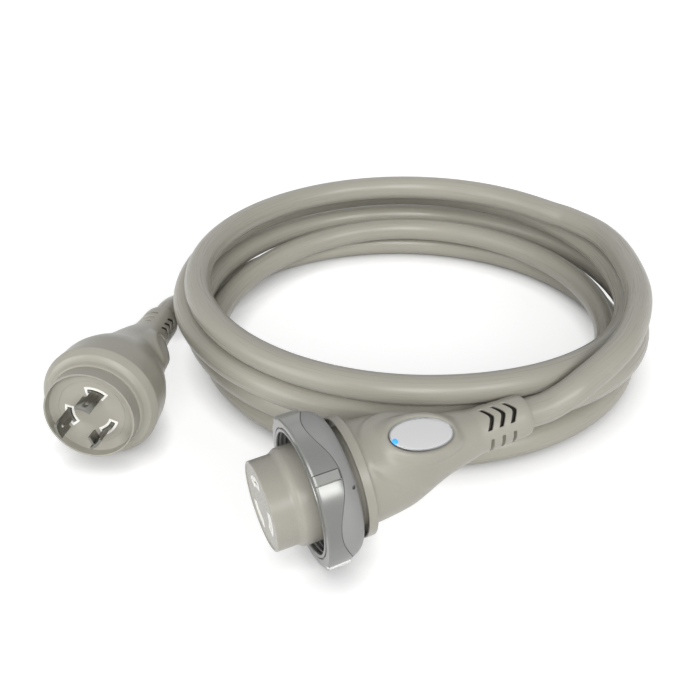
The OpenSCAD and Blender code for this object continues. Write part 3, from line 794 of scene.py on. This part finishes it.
def paint_groove_shade(obj, place, grooves, side):
    """Paints shade into the floors of a boot's grooves: a dark grey is mixed into the housing's colour there.

    Grooves whose x is under side times their radius keep the housing's colour.
    """
    mesh = obj.data
    spots = np.empty(3 * len(mesh.vertices))
    mesh.vertices.foreach_get("co", spots)
    back = np.array(place.inverted())
    x, y, z = (spots.reshape(-1, 3) @ back[:3, :3].T + back[:3, 3]).T / MM
    r = np.hypot(x, y)
    on_boot = (z < GROOVES_END) * (r < BOOT_R + 1) * (np.abs(x) > side * r)
    depth = boot_cut(z, np.arctan2(y, x), BOOT_R, *grooves) * on_boot
    mesh.attributes.new("groove", "FLOAT", "POINT").data.foreach_set("value", depth.astype(np.float32))
    tree = mesh.materials[0].node_tree
    shader = next(node for node in tree.nodes if node.type == "BSDF_PRINCIPLED")
    plain = shader.inputs["Base Color"].links[0].from_socket
    # painted shade: the groove mark mixes the housing's colour toward dark grey #33322D, for the dark of a
    # deep groove
    groove = add(tree, "ShaderNodeAttribute", attribute_name="groove")
    part = add(tree, "ShaderNodeMapRange", {"Value": groove.outputs["Fac"], "From Min": 0.08,
                                            "From Max": 0.42})
    mixed = add(tree, "ShaderNodeMix", {"Factor": part.outputs["Result"], "A": plain,
                                        "B": rgba(tone("#33322D"))}, data_type="RGBA")
    tree.links.new(mixed.outputs["Result"], shader.inputs["Base Color"])


def dense_turns(coarse, spans):
    """Angles round the axis in degrees: coarse steps, with finer ones in spans of (middle, half, step)."""
    marks = set(np.round(np.arange(0, 360, coarse), 4))
    for mid, half, step in spans:
        lo, hi = mid - half, mid + half
        marks = {a for a in marks if abs((a - mid + 180) % 360 - 180) > half - coarse * 0.3}
        marks |= {round(float(a) % 360, 4) for a in np.linspace(lo, hi, round(2 * half / step) + 1)}
    return np.radians(sorted(marks))


def boot_end():
    """Outline of a boot from the cable out to its barrel, as (r, s, fillet)."""
    return round_off([(CABLE_BORE, 0), (10.6, 0, 1.0), (11.3, 1.8, 1.2), (11.7, 5)])


# ---------------------------------------------------------------- cable

class CORD_OT_cable(bpy.types.Operator):
    """Lays the jacket along its route, from the connector through the coil to the plug"""
    bl_idname = "power_cord.cable"
    bl_label = "Cable"

    def execute(self, context):
        s = context.scene.cord_cable
        line = even_line(cable_route(), LINE_STEP)
        n, radius = s.sides, s.diameter / 2
        along = np.gradient(line, axis=0)
        along /= np.linalg.norm(along, axis=1, keepdims=True)
        up = np.array([0.0, 0.0, 1.0])
        rows = []
        turns = circle(n)
        for p, t in zip(line * MM, along):
            up = up - (up @ t) * t
            up /= np.linalg.norm(up)
            side = np.cross(t, up)
            rows.append(p + radius * (np.outer(np.cos(turns), up) + np.outer(np.sin(turns), side)))
        verts, faces = loft(rows, False)
        m = len(rows)
        faces += [tuple(range(n))[::-1], tuple(range((m - 1) * n, m * n))]
        cable = new_piece("cable", verts, faces, 60)
        self.unroll(cable, n, line)
        finish_piece(cable, "cord",
                     extruded_jacket("extruded PVC jacket", s.colour, s.roughness),
                     ("cable_connector_lead", "cable_coil", "cable_plug_lead"))
        return {"FINISHED"}

    def unroll(self, cable, n, line):
        """UV map: once round the jacket, and metres along it."""
        layer = cable.data.uv_layers.new(name="jacket")
        run = np.concatenate([[0], np.cumsum(np.linalg.norm(np.diff(line, axis=0), axis=1))]) * MM
        for face in cable.data.polygons:
            spots = [(v % n, v // n) for v in face.vertices]
            wraps = max(k for k, _ in spots) == n - 1 and min(k for k, _ in spots) == 0
            for loop, (k, row) in zip(face.loop_indices, spots):
                layer.data[loop].uv = ((k + n if wraps and k == 0 else k) / n, run[row])


# ---------------------------------------------------------------- connector

class CORD_OT_connector_housing(bpy.types.Operator):
    """Moulds the connector's housing: boot with grooves, tapered body, badge pad and flange"""
    bl_idname = "power_cord.connector_housing"
    bl_label = "Connector housing"

    def execute(self, context):
        s = context.scene.cord_housing
        depth = s.groove_depth / MM

        def shape(r, at, angles):
            if at < GROOVES_END:
                r = r - depth * boot_cut(at, angles, BOOT_R, *CONN_GROOVES)
            if 36 < at < 99:
                # soft second step on the nose side of the pad, following the body
                ang = wrap(angles - BADGE_TURN)
                gap = oval_gap(at - BADGE_S - 3.0, r * np.sin(ang), BADGE_A, BADGE_B + 1)
                r = r + 1.1 * ramp(9.4, 7.8, gap) * ramp(50, 66, at) * (np.abs(ang) < 1.3)
                for side, heights, roll in ((0, BADGE_PAD, BADGE_ROLL), (math.pi, PLAIN_PAD, 0.0)):
                    r = pad(r, at, angles, side + BADGE_TURN, CONN_OVAL, heights, 2.4, roll)
            return r

        body = flow(CONN_BODY)
        outer = boot_end() + [(11.9, 14), (12.3, 24)] + body
        outer += round_off([body[-1], (27.2, FLANGE_BACK, 1.6), (FLANGE_R, FLANGE_BACK, 0.8),
                            (FLANGE_R, FLANGE_FRONT, 0.5), (30.7, FLANGE_FRONT, 0.4), (30.4, 101.8),
                            (26.2, 101.8), (25.9, FLANGE_FRONT), (25.4, FLANGE_FRONT)])[1:]
        outer = refine(refine(outer, 0.24, 3, GROOVES_END), 0.6, GROOVES_END, 92)
        inner = [(CONN_BORE, FLANGE_FRONT), (CONN_BORE, 76), (CABLE_BORE, 40)]
        cols = dense_turns(1.6, [(0, 46, 0.7), (180, 46, 1.2)])
        rows = np.concatenate([turned(outer, ON_CONNECTOR, cols, shape), turned(inner, ON_CONNECTOR, cols)])
        verts, faces = loft(rows, True)
        housing = new_piece("connector_housing_piece", verts, faces, 40)
        finish_piece(housing, "cord", moulded_plastic("moulded PVC housing", s.colour, 0.30),
                     ("connector_housing",))
        paint_groove_shade(housing, ON_CONNECTOR, CONN_GROOVES, 0.75)
        return {"FINISHED"}


class CORD_OT_connector_nose(bpy.types.Operator):
    """Turns the connector's nose and cuts its three curved slots"""
    bl_idname = "power_cord.connector_nose"
    bl_label = "Connector nose"

    def execute(self, context):
        s = context.scene.cord_housing
        front = CONN_LEN
        outline = round_off([(0, front - 0.4), (21.7, front - 0.4), (22.0, front, 0.25), (23.4, front, 0.7),
                             (23.4, 137.8, 1.5), (25.4, 135.4, 1.5), (25.4, 114.6),
                             (29.6, 114.6, 0.4), (29.6, 112, 0.4), (25.4, 112), (25.4, FLANGE_FRONT),
                             (CONN_BORE, FLANGE_FRONT), (CONN_BORE, front - 2.4), (0, front - 2.4)])
        verts, faces = loft(turned(outline, IN_PLACE, circle(144)), False)
        nose = new_piece("connector_nose_piece", verts, faces, 30)
        weld(nose.data)
        carve(nose, slot_cutters(3, SLOT_HALF + 5, 1.0, front - 4, front + 1))
        soften(nose.data, 30)
        place_mesh(nose, ON_CONNECTOR)
        finish_piece(nose, "cord", moulded_plastic("moulded PVC nose", s.nose_colour, 0.28),
                     ("connector_nose",))
        white = moulded_plastic("white nylon slot plates", tone("#F1F0EA"), 0.3, 0.4, 0.02, 0.01)
        plates = slot_frame("connector_slot_plates", (2.8, 30.2), (0.8, 25.0), front - 2.5, front - 0.3)
        repeat_at_blades(plates, ON_CONNECTOR, white)
        return {"FINISHED"}


class CORD_OT_badge(bpy.types.Operator):
    """Sets the blank oval badge, its grey edge and the small lamp into the pad"""
    bl_idname = "power_cord.badge"
    bl_label = "Badge"

    def execute(self, context):
        edge = self.oval("badge_edge", [(0, -1.5), (0, 0.18), (-0.1, 0.36), (-0.3, 0.42), (-0.5, 0.38),
                                        (-0.6, 0.28), (-0.6, -1.5)], True)
        finish_piece(edge, "cord", metal("satin chrome on ABS", tone("#A9ABAE"), 0.28))
        crown = [(-0.62, -1.4), (-0.62, 0.24), (-0.75, 0.38), (-1.0, 0.45)]
        face = self.oval("badge_face", crown, False)
        finish_piece(face, "cord",
                     moulded_plastic("glossy acrylic badge", tone("#D6D6D6"), 0.16, 0.5, 0.01, 0.01),
                     ("badge",))
        dome = ((0, 0.25), (1.55, 0.25), (1.55, 0.72), (1.4, 0.86), (1.0, 1.0), (0.5, 1.07), (0, 1.1))
        spot = Matrix.Translation(Vector((*LAMP_ON_BADGE, 0)) * MM)
        verts, faces = loft(turned(dome, ON_BADGE @ spot, circle(32)), False)
        lamp = new_piece("indicator_lens", verts, faces, 60)
        weld(lamp.data)
        finish_piece(lamp, "cord", lit_lens("blue tinted lens", tone("#2F9BF2"), 0.75),
                     ("indicator_led",))
        return {"FINISHED"}

    def oval(self, name, profile, ring):
        """An oval shape drawn by steps in from the badge's edge and heights over its plane."""
        rows = []
        for step, z in profile:
            a, b = BADGE_A + step, BADGE_B + step
            rows.append([(a * math.cos(t), b * math.sin(t), z) for t in circle(96)])
        if not ring:
            # a low crown that rises from the last row to the middle, and a flat underside
            rise = 0.33
            for k in range(9, -1, -1):
                w = k / 10
                level = z + rise * (1 - w * w)
                rows.append([(a * w * math.cos(t), b * w * math.sin(t), level) for t in circle(96)])
            rows.insert(0, [(0, 0, profile[0][1])] * 96)
        verts, faces = loft(put(np.array(rows), ON_BADGE), ring)
        obj = new_piece(name, verts, faces, 50)
        if not ring:
            weld(obj.data)
            soften(obj.data, 50)
        return obj


# ---------------------------------------------------------------- lock ring
RING_R, LOBE_H, LOBE_R, COVER_BORE = 38.3, 1.2, 30.0, 35.9
# the thread's middle radius, first station, pitch and number of turns
THREAD_R, THREAD_FROM, THREAD_PITCH, THREAD_TURNS = 32.5, 118.0, 2.4, 3.9
# the small hole in the ring's side, and the fine grooves round each lobe's panel
HOLE_R, HOLE_AT, HOLE_TURN = 1.0, 110.9, -12.7
PANEL_HALF, PANEL_FROM = 2.55, 115.95
RING_SIDE = flow([(33.9, RING_REAR), (35.5, 109.9), (36.9, 111.5), (38.0, 113.6), (38.8, 115.8), (39.3, 118),
                  (39.6, 121), (39.7, 128)])


def ring_radius(s, angles):
    """Outer radius of the ring with its four lobes. Angles count from a lobe."""
    a = wrap(angles * LOBES) / LOBES
    off = RING_R + LOBE_H - LOBE_R
    lobe = off * np.cos(a) + np.sqrt(LOBE_R ** 2 - (off * np.sin(a)) ** 2)
    round_part = blend_max(np.full_like(lobe, RING_R), lobe, 0.5)
    side = np.interp(s, [p[1] for p in RING_SIDE], [p[0] for p in RING_SIDE])
    return blend_min(round_part, side, 1.2)


def wave_edge(angles, wave):
    """Station of the cover's rear edge, furthest back at the lobes."""
    return 118.7 - wave * np.cos(LOBES * angles)


class CORD_OT_lock_ring(bpy.types.Operator):
    """Makes the lock ring, its wound thread and its bright cover with four lobes"""
    bl_idname = "power_cord.lock_ring"
    bl_label = "Lock ring"

    def execute(self, context):
        s = context.scene.cord_ring
        wave = s.wave / MM
        grey = moulded_plastic("glass filled nylon", s.grey, 0.40, 0.3, 0.06, 0.03)
        silver = coated_silver("silver lacquered nylon", s.silver, 0.3)
        tree = repeat_tree()
        spin = Matrix.Rotation(math.radians(LOBE_TURN), 4, "Z")
        for name, make, finish, slot, node in (
                ("lock_ring_piece", self.grey_quarter, grey, "ring_grey", "lock_ring"),
                ("lock_ring_cover_piece", self.silver_quarter, silver, "ring_silver", "lock_ring_cover")):
            verts, faces = loft(np.array(make(wave)) * MM, True, False)
            obj = new_piece(name, verts, faces, 28)
            run_tree(obj, tree, {"Count": LOBES, "First": 0.0, "Finish": finish})
            if node == "lock_ring":
                outline = [(HOLE_R * math.cos(a), HOLE_R * math.sin(a)) for a in circle(20)]
                carve(obj, [prism("hole", outline, 33, 42, Matrix.Rotation(math.radians(HOLE_TURN), 4, "Z")
                                  @ Matrix.Translation((0, 0, HOLE_AT * MM))
                                  @ Matrix.Rotation(math.pi / 2, 4, "Y"))])
            place_mesh(obj, ON_CONNECTOR @ spin)
            soften(obj.data, 28)
            finish_piece(obj, "ring", finish, (node,))
        self.thread(grey)
        return {"FINISHED"}

    def thread(self, finish):
        """The thread inside the ring: one ridge wound round its bore."""
        helix = new_piece("lock_ring_thread", [(0, 0, 0)], [])
        run_tree(helix, thread_tree(), {
            "Turns": THREAD_TURNS, "Radius": THREAD_R * MM, "Length": THREAD_TURNS * THREAD_PITCH * MM,
            "Height": 2.2 * MM, "Root": 1.15 * MM, "Crest": 0.7 * MM, "Finish": finish})
        helix.data.transform(Matrix.Translation((0, 0, THREAD_FROM * MM)))
        place_mesh(helix, ON_CONNECTOR)
        soften(helix.data, 30)
        finish_piece(helix, "ring", finish)

    def columns(self):
        """Angles over a quarter, from a lobe's middle to both sides, finer at the lobe's panel."""
        marks = list(np.linspace(-45, 45, 61))
        for y in (1.2, 2.1, 2.25, 2.4, 2.5, 2.62, 2.74, 2.86, 3.1):
            angle = math.degrees(math.asin(y / (RING_R + LOBE_H)))
            marks += [-angle, angle]
        marks = sorted(round(m, 4) for m in marks)
        keep = [m for i, m in enumerate(marks) if i == 0 or m - marks[i - 1] > 0.05]
        return np.radians(keep)

    def rings(self, profile, angles):
        """Rows of points from (radius, station) pairs, each a number or an array over the angles."""
        rows = []
        for r, at in profile:
            r, at = np.broadcast_to(r, angles.shape), np.broadcast_to(at, angles.shape)
            rows.append(np.stack([r * np.cos(angles), r * np.sin(angles), at], 1))
        return rows

    def silver_quarter(self, wave):
        angles = self.columns()
        edge = wave_edge(angles, wave)
        front = RING_FRONT
        y = np.abs((RING_R + LOBE_H) * np.sin(angles))
        rows = [(COVER_BORE + 0.05, edge), (ring_radius(edge, angles) - 0.16, edge)]
        steps = [0.008, 0.02, 0.03, 0.036, 0.056, 0.064, 0.08] + list(np.linspace(0.11, 1, 22))
        for w in steps:
            at = edge + w * (front - 1.3 - edge)
            rows.append((self.panelled(at, angles, y), at))
        r = self.panelled(np.full_like(angles, front - 1.3), angles, y)
        # front face, from the outer chamfer over a flat band and a groove to the inner lip
        rows += [(r - 0.10, front - 1.12), (r - 0.80, front - 0.30), (r - 0.95, front - 0.22),
                 (r - 1.15, front - 0.20), (34.50, front - 0.20), (34.38, front - 0.32), (34.32, front - 1.0),
                 (33.72, front - 1.0), (33.66, front - 0.25), (33.5, front + 0.05), (33.2, front + 0.18),
                 (32.4, front + 0.18), (32.05, front + 0.02), (31.85, front - 0.3), (31.8, front - 0.7),
                 (31.8, front - 1.5), (COVER_BORE + 0.05, front - 1.5)]
        return self.rings(rows, angles)

    def panelled(self, at, angles, y):
        """Radius of the cover, with a flat raised panel on each lobe between fine grooves."""
        r = ring_radius(at, angles)
        level = (RING_R + LOBE_H + 0.8) / np.cos(angles)
        inside = ramp(2.45, 2.25, y) * ramp(116.1, 116.35, at)
        r = r + (level - r) * inside
        groove = ramp(0.30, 0.12, np.abs(y - PANEL_HALF)) * ramp(115.6, 115.8, at)
        across = ramp(0.32, 0.16, np.abs(at - PANEL_FROM)) * ramp(2.8, 2.6, y)
        return r - 0.62 * np.maximum(groove, across)

    def grey_quarter(self, wave):
        angles = self.columns()
        edge = wave_edge(angles, wave)
        rows = [(25.7, RING_REAR + 0.4), (26.1, RING_REAR), (33.5, RING_REAR)]
        for w in [0.01, 0.03] + list(np.linspace(0.06, 1, 22)):
            at = RING_REAR + w * (edge - 0.3 - RING_REAR)
            rows.append((ring_radius(at, angles) - 0.22, at))
        low = ring_radius(edge, angles) - 0.9
        rows += [(low, edge - 0.22), (low, edge - 0.02), (COVER_BORE, edge - 0.02),
                 (COVER_BORE, RING_FRONT - 1.55), (33.2, RING_FRONT - 1.55), (33.4, RING_FRONT - 1.8),
                 (33.4, 118), (31.2, 117.4), (31.2, 111.7), (25.7, 111.7)]
        return self.rings(rows, angles)


# ---------------------------------------------------------------- plug

class CORD_OT_plug_housing(bpy.types.Operator):
    """Moulds the plug's housing: boot with grooves, wide body with two pads, and collar"""
    bl_idname = "power_cord.plug_housing"
    bl_label = "Plug housing"

    def execute(self, context):
        s = context.scene.cord_housing
        depth = s.groove_depth / MM

        def shape(r, at, angles):
            if at < GROOVES_END:
                r = r - depth * boot_cut(at, angles, BOOT_R, *PLUG_GROOVES)
            if 28 < at < 86:
                for side in (0, math.pi):
                    r = pad(r, at, angles, side, PLUG_OVAL, PLUG_PAD, 3.2)
            return r

        body = flow(PLUG_BODY)
        outer = boot_end() + [(11.75, 14)] + body
        outer += round_off([body[-1], (COLLAR_R, 107.6, 0.35), (33.5, 109.2, 0.9), (31.7, 111.9, 0.25),
                            (29.9, 112.7, 0.8), (28.5, 114.0, 1.0), (27.9, 115.6, 0.6),
                            (27.4, PLUG_SEAT, 0.2), (26.2, PLUG_SEAT)])[1:]
        outer = refine(refine(outer, 0.3, 3, GROOVES_END), 0.6, GROOVES_END, 90)
        inner = [(26.2, 98.4), (PLUG_BORE, 98.4), (PLUG_BORE, 74), (19, 73.9), (CABLE_BORE, 40)]
        cols = dense_turns(1.6, [(0, 40, 1.0), (180, 40, 1.0)])
        rows = np.concatenate([turned(outer, ON_PLUG, cols, shape), turned(inner, ON_PLUG, cols)])
        verts, faces = loft(rows, True)
        housing = new_piece("plug_housing_piece", verts, faces, 40)
        finish_piece(housing, "cord", moulded_plastic("moulded PVC plug", s.colour, 0.31),
                     ("plug_housing",))
        paint_groove_shade(housing, ON_PLUG, PLUG_GROOVES, 0.0)
        return {"FINISHED"}


class CORD_OT_plug_face(bpy.types.Operator):
    """Makes the plug's cupped nose, its slots and the floors under the blades"""
    bl_idname = "power_cord.plug_face"
    bl_label = "Plug face"

    def execute(self, context):
        s = context.scene.cord_housing
        face = PLUG_FACE
        outline = round_off([(0, face), (19.2, face), (19.35, face - 0.18), (19.6, face - 0.18),
                             (19.75, face), (25.3, face, 0.5), (25.55, PLUG_LEN, 0.35),
                             (RIM_R, PLUG_LEN, 0.35), (RIM_R, PLUG_SEAT), (26.2, PLUG_SEAT), (26.2, 98.4),
                             (PLUG_BORE, 98.4), (PLUG_BORE, face - 4), (0, face - 4)])
        verts, faces = loft(turned(outline, IN_PLACE, circle(144)), False)
        nose = new_piece("plug_nose_piece", verts, faces, 30)
        weld(nose.data)
        carve(nose, slot_cutters(2.6, SLOT_HALF, 0.0, face - 6, face + 1))
        soften(nose.data, 30)
        place_mesh(nose, ON_PLUG)
        finish_piece(nose, "cord", moulded_plastic("moulded PVC face", s.nose_colour, 0.38),
                     ("plug_nose",))
        floor = prism("plug_slot_floors", arc_sector(BLADE_R - 1.48, BLADE_R + 1.48, 22.4, 0), face - 1.45,
                      face - 1.1, IN_PLACE)
        # painted shade: the slot floors are a darker grey than the face, for the shade down in the slots
        shade = moulded_plastic("moulded PVC slot floor with painted shade", tone("#8B897F"), 0.45)
        repeat_at_blades(floor, ON_PLUG, shade)
        white = moulded_plastic("white nylon slot frames", tone("#F3F2EC"), 0.3, 0.4, 0.02, 0.01)
        frames = slot_frame("plug_slot_frames", (2.72, 26.8), (1.3, 21.2), face - 1.2, face + 0.45)
        repeat_at_blades(frames, ON_PLUG, white)
        return {"FINISHED"}


class CORD_OT_blades(bpy.types.Operator):
    """Makes the three blades with their edges rounded by punching and tumbling"""
    bl_idname = "power_cord.blades"
    bl_label = "Blades"

    def execute(self, context):
        plated = metal("nickel plated brass", tone("#84837D"), 0.30, 0.5, 0.02)
        for name in ("blade_line", "blade_neutral", "blade_ground"):
            blade = bpy.data.objects.new(name + "_piece", NODES[name].data.copy())
            context.scene.collection.objects.link(blade)
            weld(blade.data)
            bm = bmesh.new()
            bm.from_mesh(blade.data)
            bmesh.ops.dissolve_limit(bm, angle_limit=math.radians(1), verts=bm.verts, edges=bm.edges)
            bm.to_mesh(blade.data)
            bm.free()
            bevel = blade.modifiers.new("edges", "BEVEL")
            bevel.width, bevel.segments = 0.22 * MM, 2
            bevel.limit_method, bevel.angle_limit = "ANGLE", math.radians(35)
            bake(blade)
            soften(blade.data, 40)
            finish_piece(blade, "cord", plated, (name,))
        return {"FINISHED"}


class CORD_OT_finishes(bpy.types.Operator):
    """Gives the contacts, white inserts, seal and conductors their finishes"""
    bl_idname = "power_cord.finishes"
    bl_label = "Finishes"

    def execute(self, context):
        finishes = {
            "contact": metal("sprung brass", tone("#C8AE6A"), 0.30),
            "insert": moulded_plastic("white nylon", tone("#F4F2EA"), 0.30, 0.4, 0.03, 0.015),
            "gasket": moulded_plastic("black rubber seal", tone("#3C3B38"), 0.65, 0.5, 0.08),
            "core_line": moulded_plastic("black conductor insulation", tone("#2A2A2A"), 0.35),
            "core_neutral": moulded_plastic("white conductor insulation", tone("#E4E2DC"), 0.35),
            "core_ground": moulded_plastic("green conductor insulation", tone("#3F7A46"), 0.35)}
        for name, node in NODES.items():
            if node.hide_render:
                continue
            for key, finish in finishes.items():
                if key in name:
                    node.data.materials.clear()
                    node.data.materials.append(finish)
        return {"FINISHED"}


class CORD_PT_panel(bpy.types.Panel):
    """Lists the pieces of the cord and their settings"""
    bl_idname = "CORD_PT_panel"
    bl_label = "Shore Power Cord"
    bl_space_type = "VIEW_3D"
    bl_region_type = "UI"
    bl_category = "Power Cord"

    def draw(self, context):
        for cls in OPERATORS:
            self.layout.operator(cls.bl_idname)
        for group, cls in GROUPS.items():
            box = self.layout.box()
            for prop in cls.__annotations__:
                box.prop(getattr(context.scene, group), prop)


# in the order in which they run
OPERATORS = (CORD_OT_stage, CORD_OT_blades, CORD_OT_plug_face, CORD_OT_cable, CORD_OT_connector_housing,
             CORD_OT_connector_nose, CORD_OT_badge, CORD_OT_lock_ring, CORD_OT_plug_housing,
             CORD_OT_finishes)
CLASSES = (CableSettings, HousingSettings, RingSettings, StageSettings, *OPERATORS, CORD_PT_panel)
GROUPS = {"cord_cable": CableSettings, "cord_housing": HousingSettings, "cord_ring": RingSettings,
          "cord_stage": StageSettings}


def register():
    for cls in CLASSES:
        bpy.utils.register_class(cls)
    for name, group in GROUPS.items():
        setattr(bpy.types.Scene, name, bpy.props.PointerProperty(type=group))


def unregister():
    for name in GROUPS:
        delattr(bpy.types.Scene, name)
    for cls in reversed(CLASSES):
        bpy.utils.unregister_class(cls)


def main():
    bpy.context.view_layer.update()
    register()
    for cls in OPERATORS:
        getattr(bpy.ops.power_cord, cls.bl_idname.split(".")[1])()


if __name__ == "__main__":
    main()
